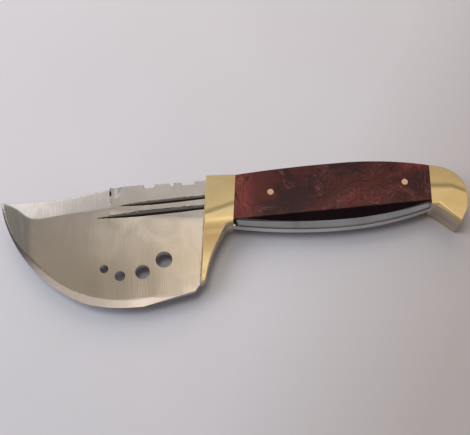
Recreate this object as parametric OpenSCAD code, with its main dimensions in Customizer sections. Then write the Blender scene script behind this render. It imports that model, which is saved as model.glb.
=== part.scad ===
// Full-tang skinning knife with brass bolsters and marbled resin scales.
// The knife lies on its right side: +X runs from the point to the pommel, +Y to the spine, +Z up
// through the left face. Millimetres. Each piece is drawn about the knife's own axis, where x = 0 is
// the guard's front face and z = 0 is the middle of the steel, and place() then sets it on the table,
// with the origin under the middle of the knife's box.

/* [Blade] */
// Length from the guard's front face to the point
blade_len = 100; // [90:1:115]
// Thickness of the steel plate that the blade and tang are cut from
stock_t = 5; // [4:0.1:6]
// Height of the spine above the knife's axis
spine_y = 12; // [11:0.1:13]
// Height of the point above the knife's axis
tip_y = 8.8; // [7:0.1:10]
// Depth of the belly below the knife's axis
belly_y = 48.8; // [46:0.1:52]
// Radius of the clip, the hollow stretch of spine behind the point
clip_r = 180; // [150:5:240]
// Height above the axis where the clip ends, a little below the spine
clip_end_y = 11.4; // [10.8:0.1:12]
// Radius of the belly near the point
belly_r_front = 72.2; // [66:0.1:78]
// Radius of the belly at its turn
belly_r_turn = 44; // [38:0.5:50]
// Radius of the belly under the holes
belly_r_low = 75; // [65:1:90]
// Steepness of the belly where the front radius ends
turn_start_a = 33; // [29:0.5:37]
// Steepness of the belly where the turn ends
turn_end_a = 12.5; // [9:0.5:16]

/* [Edge] */
// Angle of the edge bevel on each side
edge_a = 19; // [15:0.5:24]
// Width of the flat left at the cutting edge
edge_w = 0.2; // [0.1:0.05:0.4]
// Distance from the guard's front face to the heel
heel_back = 7.7; // [7:0.1:10]
// Depth of the heel below the knife's axis
heel_y = 43.5; // [43:0.1:45]
// Rise of the unsharpened stretch of belly towards the heel
heel_a = 12; // [9:0.5:16]

/* [Flanks] */
// Taper of the ground flank towards the edge, on each side
grind_a = 1.32; // [0.8:0.02:1.6]
// Depth of the grind line below the knife's axis, at the guard
grind_y = 7; // [5:0.5:9]
// Rise of the grind line towards the point
grind_rise_a = 10.35; // [8:0.25:12]
// Distance from the guard to where the front part of the flank ends at the belly
front_grind_x = 62; // [56:1:70]
// Tilt of the swedge, the false edge along the clip
swedge_a = 2.9; // [2:0.1:3.4]
// Distance from the point to the front corner of the swedge
swedge_back = 13; // [11:0.5:16]
// Depth of that corner below the knife's axis
swedge_y = 1.3; // [0:0.1:3]
// Thickness of the steel at that corner
swedge_t = 2.6; // [2.2:0.1:3]
// Thickness of the steel at the point
point_t = 0.58; // [0.4:0.02:0.9]
// Distance from the point to the foot of the point's own facet
point_back = 7.8; // [6:0.1:9]
// Depth of that foot below the knife's axis
point_y = 14; // [12:0.5:16]

/* [Fullers] */
// Distance from the guard to the front end of the upper fuller
fuller_up_len = 42.4; // [36:0.2:48]
// Distance from the guard to the front end of the lower fuller
fuller_low_len = 53.2; // [46:0.2:60]
// Height above the axis of the upper fuller's front end
fuller_up_y = 1.9; // [1:0.1:3]
// Depth below the axis of the lower fuller's front end
fuller_low_y = 3.6; // [2.6:0.1:4.2]
// Slope of both fullers against the knife's axis
fuller_a = 1.9; // [0:0.1:2.5]
// Greatest depth of the upper fuller
fuller_up_d = 0.9; // [0.6:0.05:1.2]
// Greatest depth of the lower fuller
fuller_low_d = 1.1; // [0.7:0.05:1.4]
// Rim radius of the cutter for the upper fuller
fuller_up_r = 1.25; // [1.2:0.05:1.6]
// Rim radius of the cutter for the lower fuller
fuller_low_r = 1.5; // [1.4:0.05:1.8]

/* [Filed spine] */
// Distance from the guard to the end of the clip, where the thumb scallop starts
clip_back = 46; // [43:0.5:48]
// Radius of the wheel that ground the thumb scallop
scallop_r = 6; // [5:0.25:8]
// Distance from the end of the clip to the scallop's deepest place
scallop_lead = 2.2; // [1.6:0.1:3]
// Slant of the scallop against the flank
scallop_a = 12; // [9:0.5:16]
// Height of the scallop's foot above the axis, on each flank
scallop_y = 5.9; // [5:0.1:8]
// Depth of the gaps filed in the spine
gap_d = 1.2; // [0.8:0.1:1.8]
// Size of the slanted corners filed in each gap
gap_slant = 1.1; // [0.6:0.1:1.6]

/* [Drilled holes] */
// Diameter of the first and smallest hole
hole_1_d = 4; // [3:0.5:4.5]
// Diameter of the second hole
hole_2_d = 5; // [4:0.5:5.5]
// Diameter of the third hole
hole_3_d = 7; // [6:0.5:7.5]
// Diameter of the fourth hole, which takes a hanging peg
hole_4_d = 8; // [7:0.5:9]

/* [Bolsters and guard] */
// Thickness of the handle over its bolsters and scales
handle_t = 18; // [15:0.5:22]
// Width of the front bolster along the handle
bolster_w = 14.3; // [12:0.1:17]
// Lean of the front bolster's faces
bolster_lean_a = 7.2; // [4:0.2:9]
// Depth of the guard's lower end below the axis
guard_y = 39.1; // [37:0.1:40]
// Thickness over the guard plates at their lower end
guard_tip_t = 7.8; // [7.2:0.1:9]
// Width of the guard's lower end
guard_foot_w = 2.4; // [1.4:0.1:3]
// Fall of the guard's lower end from its rear corner to its front corner
guard_foot_drop = 1.4; // [1:0.1:1.8]
// Distance from the guard's front face to the corner between guard and handle
guard_root_x = 10.4; // [9.6:0.1:11.2]
// Radius of the hollow rear edge of the guard
guard_back_r = 64.4; // [60:0.2:70]
// Radius of the corner between the guard and the handle
guard_corner_r = 4; // [2:0.25:5]

/* [Handle] */
// Distance from the guard's front face to the highest place of the handle's back
crown_x = 70; // [68:0.5:72]
// Height of the handle's back above the axis there
crown_y = 13.6; // [13:0.1:15]
// Radius of the handle's back in front of that place
back_r_front = 650; // [600:10:800]
// Radius of the handle's back behind that place
back_r_rear = 175; // [168:1:185]
// Distance from the guard's front face to the lowest place of the handle's belly
palm_x = 64; // [60:0.5:66]
// Depth of the handle's belly below the axis there
palm_y = 17.9; // [17:0.1:19]
// Radius of the handle's belly in front of that place
palm_r_front = 265; // [250:1:280]
// Radius of the handle's belly behind that place
palm_r_rear = 161; // [155:1:168]
// Thickness of each steel liner
liner_t = 3; // [2:0.1:3.5]
// Slope of the bevel along the lower edge of the liners
bevel_a = 40.5; // [37:0.5:44]
// Height of the bevel's lowest line above the liner's inner face
bevel_start = 0.3; // [0.2:0.05:0.6]
// Radius of the bevel's upper line in front of the lowest place of the belly
bevel_r_front = 335; // [320:5:350]
// Radius of the bevel's upper line behind that place
bevel_r_rear = 196; // [190:1:205]
// Slope of the facet along the lower edge of the scales
facet_a = 36; // [34:0.5:36.5]
// Depth of the facet's upper line below the axis, at the front bolster
facet_front_y = 11.3; // [10.8:0.1:12]
// Rise of that line towards the pommel
facet_rise_a = 1.31; // [0.8:0.01:1.6]
// Radius of the relief in each liner's lower front corner
relief_r = 1.8; // [1:0.1:2.5]

/* [Pommel] */
// Distance from the guard's front face to the pommel's front face, on the axis
pommel_x = 109.5; // [107:0.1:110.5]
// Lean of the pommel's front face
pommel_lean_a = 4.4; // [2:0.2:6]
// Radius of the pommel's round end
pommel_r = 16; // [15:0.1:17]
// Depth of that radius's centre below the axis
pommel_y = 7.8; // [7:0.1:8.6]
// Distance of the beak's tip behind the centre of the round end
beak_x = 10.5; // [9:0.1:12]
// Depth of the beak's tip below the axis
beak_y = 21.2; // [20:0.1:23]
// Width of the facet under the beak, next to the handle
beak_facet_w = 1.4; // [1:0.1:2.5]
// Radius of the corner between the beak and the handle
beak_corner_r = 4; // [2:0.25:5]

/* [Pins] */
// Diameter of the two copper pins through the scales
scale_pin_d = 3; // [2:0.1:5]
// Distance from the guard's front face to the front scale pin
scale_pin_front_x = 31.8; // [26:0.2:40]
// Distance from the guard's front face to the rear scale pin
scale_pin_rear_x = 97.1; // [90:0.2:100]
// Height of the scale pins above the axis
scale_pin_y = 0.8; // [-2:0.1:3]
// Diameter of the hidden dowels in the bolsters and the pommel
dowel_d = 3; // [2:0.1:4]
// Diameter of the hidden dowel in the guard
guard_dowel_d = 2; // [1.5:0.1:2.5]
// Metal left over the blind end of each dowel hole
dowel_cover = 1.5; // [1:0.1:2.5]
// Radial clearance of every pin in its hole
pin_fit = 0.03; // [0.02:0.01:0.08]

/* [Hidden] */
$fn = 96;
half = stock_t / 2;
side_h = handle_t / 2;
scale_t = side_h - half - liner_t;
reach = 400;                    // larger than the knife, for cutting tools
over = 1;                       // how far a cutting tool runs past what it cuts
fine = 720;                     // steps round a very large radius
bite = 0.01;                    // how far arcs that run into each other overlap

// Belly: three arcs that run smoothly into each other and end in a level stretch. Each arc's centre
// lies on the line through the next arc's centre and their shared point.
lift_1 = (belly_r_front - belly_r_turn);
lift_2 = (belly_r_low - belly_r_turn);
front_dx = lift_1 * sin(turn_start_a) - lift_2 * sin(turn_end_a);
front_y = belly_r_low - belly_y - lift_2 * cos(turn_end_a) + lift_1 * cos(turn_start_a);
belly_run = sqrt(belly_r_front ^ 2 - (tip_y - front_y) ^ 2) - front_dx;
level_x = belly_run - blade_len;
c_low = [level_x, belly_r_low - belly_y];
c_turn = c_low - lift_2 * [sin(turn_end_a), cos(turn_end_a)];
c_front = c_turn + lift_1 * [sin(turn_start_a), cos(turn_start_a)];

// Clip: a hollow arc from the point to the scallop
clip_x = -clip_back;
tip = [-blade_len, tip_y];
c_clip = arc_centre(tip, [clip_x, clip_end_y], clip_r);

// Flanks, as planes z = k[0] + k[1] x + k[2] y on the left side
function height_on(k, p) = k[0] + k[1] * p[0] + k[2] * p[1];
function lift(k, p) = [p[0], p[1], height_on(k, p)];
grind_slope = tan(grind_a);
grind_rise = tan(grind_rise_a);
grind_plane = [half + grind_slope * grind_y, grind_slope * grind_rise, grind_slope];
grind_end = [clip_x, -grind_y - grind_rise * clip_x, half];
swedge_at = [-blade_len + swedge_back, -swedge_y, swedge_t / 2];
front_grind_at = [-front_grind_x, arc_low_y(c_turn, belly_r_turn, -front_grind_x)];
front_plane = plane_through(grind_end, lift(grind_plane, front_grind_at), swedge_at);
swedge_slope = -tan(swedge_a);
swedge_run = (half - swedge_at[2] - swedge_slope * (grind_end[1] - swedge_at[1]))
    / (clip_x - swedge_at[0]);
swedge_plane = [half - swedge_run * clip_x - swedge_slope * grind_end[1], swedge_run, swedge_slope];
point_foot = lift(front_plane, [-blade_len + point_back, -point_y]);
point_plane = plane_through(swedge_at, point_foot, [tip[0], tip[1], point_t / 2]);

// Guard and bolsters
heel = [-heel_back, -heel_y];
function guard_x(y) = y * tan(bolster_lean_a);
function bolster_rear_x(y) = bolster_w + guard_x(y);
c_back_front = [crown_x, crown_y - back_r_front];
c_back_rear = [crown_x, crown_y - back_r_rear];
c_palm_front = [palm_x, palm_r_front - palm_y];
c_palm_rear = [palm_x, palm_r_rear - palm_y];
top_x = bolster_rear_x(spine_y);
bolster_top = [top_x, arc_high_y(c_back_front, back_r_front, top_x)];
guard_foot = [guard_x(-guard_y) + guard_foot_w, -guard_y];
guard_toe = [guard_x(-guard_y - guard_foot_drop), -guard_y - guard_foot_drop];
guard_root = [guard_root_x, arc_low_y(c_palm_front, palm_r_front, guard_root_x)];
c_guard_back = arc_centre(guard_foot, guard_root, guard_back_r, -1);
c_guard_corner = circles_meet(c_palm_front, palm_r_front + guard_corner_r,
    c_guard_back, guard_back_r - guard_corner_r);
cove_top = guard_root[1];
cove_r = ((cove_top + guard_y) ^ 2 + (side_h - guard_tip_t / 2) ^ 2) / (2 * (side_h - guard_tip_t / 2));

// Pommel: the round end meets the handle's back smoothly at crest
c_round = crest_centre(c_back_rear, back_r_rear, pommel_r, -pommel_y);
crest = c_back_rear + back_r_rear / (back_r_rear - pommel_r) * (c_round - c_back_rear);
beak = [c_round[0] + beak_x, -beak_y];
round_end = tangent_point(c_round, pommel_r - bite, beak);
throat = [pommel_x + 0.7, arc_low_y(c_palm_rear, palm_r_rear, pommel_x + 0.7)];
beak_dir = (beak - throat) / norm(beak - throat);
beak_out = [beak_dir[1], -beak_dir[0]];
c_beak_corner = beside_line(throat + beak_corner_r * beak_out, beak_dir, c_palm_rear,
    palm_r_rear + beak_corner_r);
function pommel_front_x(y) = pommel_x + y * tan(pommel_lean_a);

// Bevel along the liners: the parts of two cones about upright axes, which meet over palm_x
bevel_run = (liner_t - bevel_start) / tan(bevel_a);

// Facet along the lower edge of the scales
facet_slope = tan(facet_a);
facet_rise = tan(facet_rise_a);
facet_plane = [side_h + facet_slope * (facet_front_y + facet_rise * bolster_w),
    -facet_slope * facet_rise, facet_slope];

// The bolster's facet carries the scale's on and starts a little in front of the guard's corner
facet_start = guard_root - [1.6, 0.5];
bolster_facet = plane_through([bolster_top[0], -facet_front_y, side_h],
    [bolster_w, -facet_front_y - 1, side_h - facet_slope], concat(facet_start, side_h));
// Facet under the beak, which runs out at its tip
pommel_facet = plane_through(concat(throat - beak_facet_w * beak_out, side_h),
    concat(throat, side_h - beak_facet_w * facet_slope), concat(beak, side_h));

// Places of the drilled holes, as [x from the guard, y, diameter]
holes = [[-50.3, -29.4, hole_1_d], [-42.9, -33.4, hole_2_d], [-32.1, -32.3, hole_3_d],
    [-21.6, -27, hole_4_d]];
// Gaps filed in the spine, as [distance from the guard, width]
gaps = [[29.4, 5.1], [16.6, 1.9], [10.7, 6.1]];
scallop_x = clip_x + scallop_lead;
// Places of the hidden dowels
bolster_dowels = [[8.2, 5.5], [6.8, -6]];
guard_dowel_at = [0.6, -21.5];
pommel_dowels = [[c_round[0] + 4.5, 0], [c_round[0] + 5.5, -10]];
dowel_h = side_h - dowel_cover;
guard_dowel_h = cove_height(guard_dowel_at[1] - guard_dowel_d) - dowel_cover;
scale_pins = [[scale_pin_front_x, scale_pin_y], [scale_pin_rear_x, scale_pin_y]];

// The knife's box, which places the origin
box_x = (c_round[0] + pommel_r - blade_len) / 2;
box_y = (crown_y - belly_y) / 2;

// Centre of the arc of radius r from p to q, on the left of p to q, or on the right with side = -1
function arc_centre(p, q, r, side = 1) =
    let (d = q - p, n = norm(d), h = sqrt(r ^ 2 - n ^ 2 / 4))
    (p + q) / 2 + side * h / n * [-d[1], d[0]];
// Height of the lower side of a circle at x
function arc_low_y(c, r, x) = c[1] - sqrt(r ^ 2 - (x - c[0]) ^ 2);
// Height of its upper side
function arc_high_y(c, r, x) = c[1] + sqrt(r ^ 2 - (x - c[0]) ^ 2);
// Plane z = k[0] + k[1] x + k[2] y through three points
function plane_through(p, q, r) =
    let (n = cross(q - p, r - p), b = -n[0] / n[2], c = -n[1] / n[2])
    [p[2] - b * p[0] - c * p[1], b, c];
// Centre, at height y, of a circle of radius r inside and touching the circle of radius big at c
function crest_centre(c, big, r, y) = [c[0] + sqrt((big - r) ^ 2 - (y - c[1]) ^ 2), y];
// Where the tangent from p touches the circle, on the outer side of the beak
function tangent_point(c, r, p) =
    let (d = p - c, n = norm(d), a = atan2(d[1], d[0]) + acos(r / n))
    c + r * [cos(a), sin(a)];
// The left of the two points where two circles meet
function circles_meet(c1, r1, c2, r2) =
    let (d = c2 - c1, n = norm(d), a = (r1 ^ 2 - r2 ^ 2 + n ^ 2) / (2 * n), h = sqrt(r1 ^ 2 - a ^ 2))
    c1 + a / n * d - h / n * [-d[1], d[0]];
// Where the ray from p along the unit vector u leaves the circle of radius r at c
function beside_line(p, u, c, r) =
    let (w = p - c, b = w * u)
    p + (sqrt(b ^ 2 - w * w + r ^ 2) - b) * u;
// The point of a circle's rim towards p
function rim_point(c, r, p) = c + r * (p - c) / norm(p - c);
// Height of the guard plate's hollow face at y
function cove_height(y) =
    guard_tip_t / 2 + cove_r - sqrt(cove_r ^ 2 - (y + guard_y) ^ 2);

module place() {
    translate([-box_x, -box_y, side_h]) children();
}

// Everything above the plane z = k[0] + k[1] x + k[2] y
module above(k) {
    n = sqrt(1 + k[1] ^ 2 + k[2] ^ 2);
    tilt_x = asin(k[2] / n);
    tilt_y = asin(-k[1] / (n * cos(tilt_x)));
    translate([0, 0, k[0]]) rotate([tilt_x, tilt_y, 0])
        translate([-reach, -reach, 0]) cube([2 * reach, 2 * reach, reach]);
}

// The children and their mirror image through the middle of the steel
module both_sides() {
    children();
    mirror([0, 0, 1]) children();
}

// Region in front of the guard's front face
module ahead_of_guard() {
    polygon([[guard_x(-reach / 4), -reach / 4], [guard_x(reach / 4), reach / 4],
        [-reach, reach / 4], [-reach, -reach / 4]]);
}

// Region behind the leaning line that crosses the axis at x
module behind(x, lean) {
    polygon([[x - reach / 4 * tan(lean), -reach / 4], [x + reach, -reach / 4],
        [x + reach, reach / 4], [x + reach / 4 * tan(lean), reach / 4]]);
}

// The plate between z0 and z1 whose outline is given
module plate(z0, z1) {
    translate([0, 0, z0]) linear_extrude(height = z1 - z0) children();
}

// Everything behind the leaning line that crosses the axis at x
module rear_part(x, lean) {
    plate(-reach / 4, reach / 4) behind(x, lean);
}

module circle_at(c, r) {
    translate(c) circle(r = r, $fn = fine);
}

// A hollow corner: the triangle from inside the body to the two ends of its arc, less the arc's circle
module hollow_corner(inside, from, to, c, r) {
    difference() {
        polygon([inside, from, to]);
        translate(c) circle(r = r + bite);
    }
}

// Outline of the handle from the guard to the pommel's round end
module handle_outline() {
    deep = palm_y + over;
    tall = crown_y + deep + over;
    difference() {
        union() {
            intersection() {
                circle_at(c_back_front, back_r_front);
                circle_at(c_palm_front, palm_r_front);
                translate([-guard_y, -deep]) square([palm_x + guard_y, tall]);
            }
            intersection() {
                circle_at(c_back_front, back_r_front);
                circle_at(c_palm_rear, palm_r_rear);
                translate([palm_x, -deep]) square([crown_x - palm_x, tall]);
            }
            intersection() {
                circle_at(c_back_rear, back_r_rear);
                circle_at(c_palm_rear, palm_r_rear);
                translate([crown_x, -deep]) square([throat[0] + 2 - crown_x, tall]);
            }
            intersection() {
                circle_at(c_back_rear, back_r_rear);
                translate([throat[0], -pommel_y]) square([crest[0] - throat[0], tall]);
            }
            difference() {
                translate(c_round) circle(r = pommel_r, $fn = 2 * $fn);
                polygon([throat, beak, [beak[0], -reach], [-reach, -reach], [-reach, reach],
                    [throat[0], reach]]);
            }
        }
        ahead_of_guard();
    }
}

// The handle as a plate from z0 to z1, with its beak and the bolster's straight top
module handle_plate(z0, z1) {
    plate(z0, z1) handle_outline();
    plate(z0, z1) polygon([c_round, round_end, beak, throat]);
    plate(z0, z1) hollow_corner(c_round, rim_point(c_palm_rear, palm_r_rear, c_beak_corner),
        c_beak_corner - beak_corner_r * beak_out, c_beak_corner, beak_corner_r);
    bolster_top_plate(z0, z1);
}

// The bolster's straight top, from the guard to the handle's back and on inside it
module bolster_top_plate(z0, z1) {
    low = spine_y / 2;
    front = [guard_x(spine_y), spine_y];
    inside = bolster_top + (bolster_top - front) / 5;
    plate(z0, z1) polygon([front, inside, [bolster_top[0], low], [guard_x(low), low]]);
}

// The guard as a plate from z0 to z1
module guard_plate(z0, z1) {
    plate(z0, z1) difference() {
        polygon([[guard_x(0), 0], guard_toe, guard_foot, guard_root, [guard_root[0], 0]]);
        circle_at(c_guard_back, guard_back_r);
        ahead_of_guard();
    }
    plate(z0, z1) hollow_corner(guard_root + guard_corner_r * [-1, 1],
        rim_point(c_palm_front, palm_r_front, c_guard_corner),
        rim_point(c_guard_back, guard_back_r, c_guard_corner), c_guard_corner, guard_corner_r);
}

// Outline of the blade from the guard to the point, before its belly is ground
module blade_outline() {
    run = (belly_y + 2 * over - heel_y) / tan(heel_a);
    far = -blade_len - 5 * over;
    low = -belly_y - 2 * over;
    difference() {
        polygon([[far, tip_y + 5], [clip_x, tip_y + 5], [clip_x, spine_y], [bolster_w / 2, spine_y],
            guard_foot, guard_toe, heel, [heel[0] - run, low], [far, low]]);
        circle_at(c_clip, clip_r);
    }
}

// The grinder's path round one arc of the belly: a ring with a V-shaped inner side
module ring_grind(c, r, from, to) {
    translate([c[0], c[1], 0]) rotate([0, 0, from])
        rotate_extrude(angle = to - from, $fn = fine) translate([r, 0]) edge_profile();
}

// The V that the edge bevels leave, with the cutting edge at x = 0
module edge_profile() {
    high = half + over;
    in = (high - edge_w / 2) / tan(edge_a);
    out = 40;
    polygon([[0, edge_w / 2], [-in, high], [out, high], [out, -high], [-in, -high],
        [0, -edge_w / 2]]);
}

module belly_grind() {
    lap = 0.01;
    ring_grind(c_front, belly_r_front, 176, 270 - turn_start_a + lap);
    ring_grind(c_turn, belly_r_turn, 270 - turn_start_a - lap, 270 - turn_end_a + lap);
    ring_grind(c_low, belly_r_low, 270 - turn_end_a - lap, 270);
    translate([level_x - lap, -belly_y, 0]) rotate([90, 0, 90])
        linear_extrude(height = -level_x) mirror([1, 0]) edge_profile();
}

// The two ground planes of one flank, the swedge and the facet at the point
module flank_grind() {
    intersection() {
        above(grind_plane);
        linear_extrude(height = reach) ahead_of_guard();
    }
    above(front_plane);
    intersection() {
        above(swedge_plane);
        translate([clip_x - reach, -reach / 2, 0]) cube(reach);
    }
    above(point_plane);
}

// One fuller: a round groove that grows from a point over grow of its length, keeps its width up to
// keep, and narrows again at the guard
module fuller(len, y, depth, rim) {
    axis_h = rim - depth;
    grow = 0.4;
    keep = 0.7;
    at_guard = 0.8;
    end = len + 3 * over;
    translate([-len, y, half + axis_h]) rotate([90, 0, 90 + fuller_a])
        rotate_extrude() polygon([[0, -over], [axis_h, 0], [rim, grow * len], [rim, keep * len],
            [at_guard * rim, end], [0, end]]);
}

module fullers() {
    intersection() {
        union() {
            fuller(fuller_up_len, fuller_up_y, fuller_up_d, fuller_up_r);
            fuller(fuller_low_len, -fuller_low_y, fuller_low_d, fuller_low_r);
        }
        linear_extrude(height = reach) ahead_of_guard();
    }
}

// The slanted thumb scallop and the gaps filed along the spine
module filed_spine() {
    both_sides() intersection() {
        translate([scallop_x, scallop_y, half]) rotate([-90 - scallop_a, 0, 0])
            translate([0, -scallop_r, -2 * scallop_r]) cylinder(r = scallop_r, h = 5 * scallop_r);
        translate([clip_x, 0, 0]) cube([3 * scallop_r, 2 * spine_y, 2 * stock_t]);
    }
    for (g = gaps) gap(g[0], g[1]);
}

// One gap, flat in the middle and slanted towards both flanks
module gap(from, width) {
    foot = spine_y - gap_d;
    top = spine_y + over;
    translate([-from, 0, 0]) rotate([90, 0, 90]) linear_extrude(height = width)
        polygon([[top, half + over], [foot - gap_slant - over, half + over], [foot, half - gap_slant],
            [foot, gap_slant - half], [foot - gap_slant - over, -half - over], [top, -half - over]]);
}

module drill(p, d, h) {
    translate([p[0], p[1], 0]) cylinder(d = d, h = 2 * h, center = true);
}

module pin_holes() {
    for (p = scale_pins) drill(p, scale_pin_d + 2 * pin_fit, side_h + over);
    for (p = bolster_dowels) drill(p, dowel_d + 2 * pin_fit, dowel_h + pin_fit);
    for (p = pommel_dowels) drill(p, dowel_d + 2 * pin_fit, dowel_h + pin_fit);
    drill(guard_dowel_at, guard_dowel_d + 2 * pin_fit, guard_dowel_h + pin_fit);
}

module blade() {
    color("lightsteelblue") place() difference() {
        union() {
            plate(-half, half) blade_outline();
            guard_plate(-half, half);
            handle_plate(-half, half);
        }
        belly_grind();
        both_sides() {
            flank_grind();
            fullers();
        }
        filed_spine();
        for (h = holes) drill([h[0], h[1]], h[2], stock_t);
        pin_holes();
    }
}

module bolster_plate() {
    difference() {
        union() {
            guard_plate(half, side_h);
            handle_plate(half, side_h);
        }
        rear_part(bolster_w, bolster_lean_a);
        guard_cut();
        intersection() {
            above(bolster_facet);
            translate([facet_start[0], guard_root[1] - guard_corner_r, 0]) cube(reach / 4);
        }
        pin_holes();
    }
}

// What the hollow of the guard plate takes off: all that lies inside its cylinder below cove_top
module guard_cut() {
    intersection() {
        translate([0, -guard_y, guard_tip_t / 2 + cove_r]) rotate([0, 90, 0])
            cylinder(r = cove_r, h = reach, center = true, $fn = fine);
        translate([-reach / 4, cove_top - reach / 4, guard_tip_t / 2])
            cube([reach / 2, reach / 4, side_h]);
    }
}

// A plate of the grip, between the bolster and the pommel
module grip_plate(z0, z1) {
    difference() {
        intersection() {
            plate(z0, z1) handle_outline();
            rear_part(bolster_w, bolster_lean_a);
        }
        rear_part(pommel_x, pommel_lean_a);
        pin_holes();
    }
}

// What lies under a round wall over the grip's belly, from z0 to z1. The wall's radius grows from top
// to top + flare downwards, and its lowest line starts over palm_x.
module under_wall(x0, x1, z0, z1, top, flare) {
    difference() {
        translate([x0, -palm_y - over, z0]) cube([x1 - x0, palm_y, z1 - z0]);
        translate([palm_x, top - palm_y + bevel_run, z0])
            cylinder(r1 = top + flare, r2 = top, h = z1 - z0, $fn = fine);
    }
}

// The liner's bevel, and the relief in its lower front corner
module liner_plate() {
    corner_x = bolster_rear_x(-palm_y);
    flare = liner_t / tan(bevel_a);
    difference() {
        grip_plate(half, half + liner_t);
        under_wall(0, palm_x, half, half + liner_t, bevel_r_front, flare);
        under_wall(palm_x, beak[0], half, half + liner_t, bevel_r_rear, flare);
        translate([corner_x, arc_low_y(c_palm_front, palm_r_front, corner_x), half - over])
            cylinder(r = relief_r, h = liner_t + 2 * over);
    }
}

// A scale stands on its liner's bevel, and its facet runs out towards both ends
module scale_plate() {
    difference() {
        grip_plate(half + liner_t, side_h);
        under_wall(0, palm_x, half + liner_t, side_h, bevel_r_front, 0);
        under_wall(palm_x, beak[0], half + liner_t, side_h, bevel_r_rear, 0);
        above(facet_plane);
    }
}

module pommel_plate() {
    difference() {
        intersection() {
            handle_plate(half, side_h);
            rear_part(pommel_x, pommel_lean_a);
        }
        above(pommel_facet);
        pin_holes();
    }
}

module right() {
    mirror([0, 0, 1]) children();
}

module pin(p, d, h) {
    drill(p, d, h);
}

module front_bolster_left() { color("goldenrod") place() bolster_plate(); }
module front_bolster_right() { color("goldenrod") place() right() bolster_plate(); }
module pommel_left() { color("goldenrod") place() pommel_plate(); }
module pommel_right() { color("goldenrod") place() right() pommel_plate(); }
module liner_left() { color("silver") place() liner_plate(); }
module liner_right() { color("silver") place() right() liner_plate(); }
module scale_left() { color("brown") place() scale_plate(); }
module scale_right() { color("brown") place() right() scale_plate(); }
module scale_pin_front() { color("peru") place() pin(scale_pins[0], scale_pin_d, side_h); }
module scale_pin_rear() { color("peru") place() pin(scale_pins[1], scale_pin_d, side_h); }
module bolster_dowel_upper() { color("khaki") place() pin(bolster_dowels[0], dowel_d, dowel_h); }
module bolster_dowel_lower() { color("khaki") place() pin(bolster_dowels[1], dowel_d, dowel_h); }
module guard_dowel() { color("khaki") place() pin(guard_dowel_at, guard_dowel_d, guard_dowel_h); }
module pommel_dowel_upper() { color("khaki") place() pin(pommel_dowels[0], dowel_d, dowel_h); }
module pommel_dowel_lower() { color("khaki") place() pin(pommel_dowels[1], dowel_d, dowel_h); }

blade();
front_bolster_left();
front_bolster_right();
pommel_left();
pommel_right();
liner_left();
liner_right();
scale_left();
scale_right();
scale_pin_front();
scale_pin_rear();
bolster_dowel_upper();
bolster_dowel_lower();
guard_dowel();
pommel_dowel_upper();
pommel_dowel_lower();
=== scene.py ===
"""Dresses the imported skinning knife: a polished steel blade, brass guard and pommel, marbled resin
scales, steel liners and copper pins, lying on a pale glossy table under soft light.

Lengths inside the shape functions are millimetres about the knife's own axis: x = 0 is the guard's
front face, x grows towards the pommel, y towards the spine, and z = 0 is the middle of the steel.
"""
import math
from functools import partial
import bpy
import numpy as np
from mathutils import Matrix, Vector
from mathutils.geometry import delaunay_2d_cdt


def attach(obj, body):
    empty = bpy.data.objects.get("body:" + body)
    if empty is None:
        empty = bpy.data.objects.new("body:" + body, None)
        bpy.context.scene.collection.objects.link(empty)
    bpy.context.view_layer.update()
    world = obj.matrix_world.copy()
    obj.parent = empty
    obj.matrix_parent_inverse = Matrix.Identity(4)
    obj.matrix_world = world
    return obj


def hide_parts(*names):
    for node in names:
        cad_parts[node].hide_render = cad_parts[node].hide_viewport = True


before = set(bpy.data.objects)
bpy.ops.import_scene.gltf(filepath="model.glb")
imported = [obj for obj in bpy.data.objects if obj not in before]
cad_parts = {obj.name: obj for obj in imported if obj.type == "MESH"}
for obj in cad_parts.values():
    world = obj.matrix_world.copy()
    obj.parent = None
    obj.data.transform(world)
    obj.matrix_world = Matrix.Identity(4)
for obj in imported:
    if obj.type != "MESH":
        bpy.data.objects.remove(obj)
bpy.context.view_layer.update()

bl_info = {
    "name": "Skinning knife dressing",
    "version": (1, 0, 0),
    "blender": (4, 5, 0),
    "location": "View3D > Sidebar > Knife",
    "description": "Surfaces, finishes, table and light for a full-tang skinning knife",
    "category": "Object",
}

# Sizes that the solids have too, in millimetres. A circle is written as (centre, radius).
HALF = 2.5  # half the steel's thickness
SIDE = 9.0  # half the handle's thickness
LINER_TOP = HALF + 3.0
BOX_X = 13.543  # middle of the knife's box, the frame's origin
BOX_Y = -17.6
LEAN = math.tan(math.radians(7.2))
POMMEL_LEAN = math.tan(math.radians(4.4))
BOLSTER_W = 14.3
POMMEL_X = 109.5
SPINE_Y = 12.0
BELLY_Y = -48.8  # the level end of the edge, before the heel
HEEL = (-7.7, -43.5)
GUARD_FOOT = (-2.539, -39.1)
GUARD_TOE = (-40.5 * LEAN, -40.5)
GUARD_BACK_R = 64.4
FOOT_T = 3.9  # half the guard's thickness at its foot
CORNER_R = 4.0  # hollow corners at the guard's root and under the beak
TIP = (-100.0, 8.8)
CLIP = ((-81.60, 187.86), 180.0)
CLIP_X = -46.0  # where the clip ends and the scallop begins
CLIP_END = (CLIP_X - 0.05, 11.4)
SCALLOP_R = 6.0
SCALLOP_Y = 5.9
SCALLOP_LEAD = 0.37 * SCALLOP_R
STEEP = math.radians(12)  # lean of the scallop's axis, and of the edge near the heel
STEEP_COS = 0.978
CROWN_X = 70.0  # where the arcs of the back meet
BACK_FRONT = ((CROWN_X, -636.4), 650.0)
BACK_REAR = ((CROWN_X, -161.4), 175.0)
PALM_X = 64.0  # where the arcs of the handle's belly and of the bevel meet
PALM_FRONT = ((PALM_X, 247.1), 265.0)
PALM_REAR = ((PALM_X, 143.1), 161.0)
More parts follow.
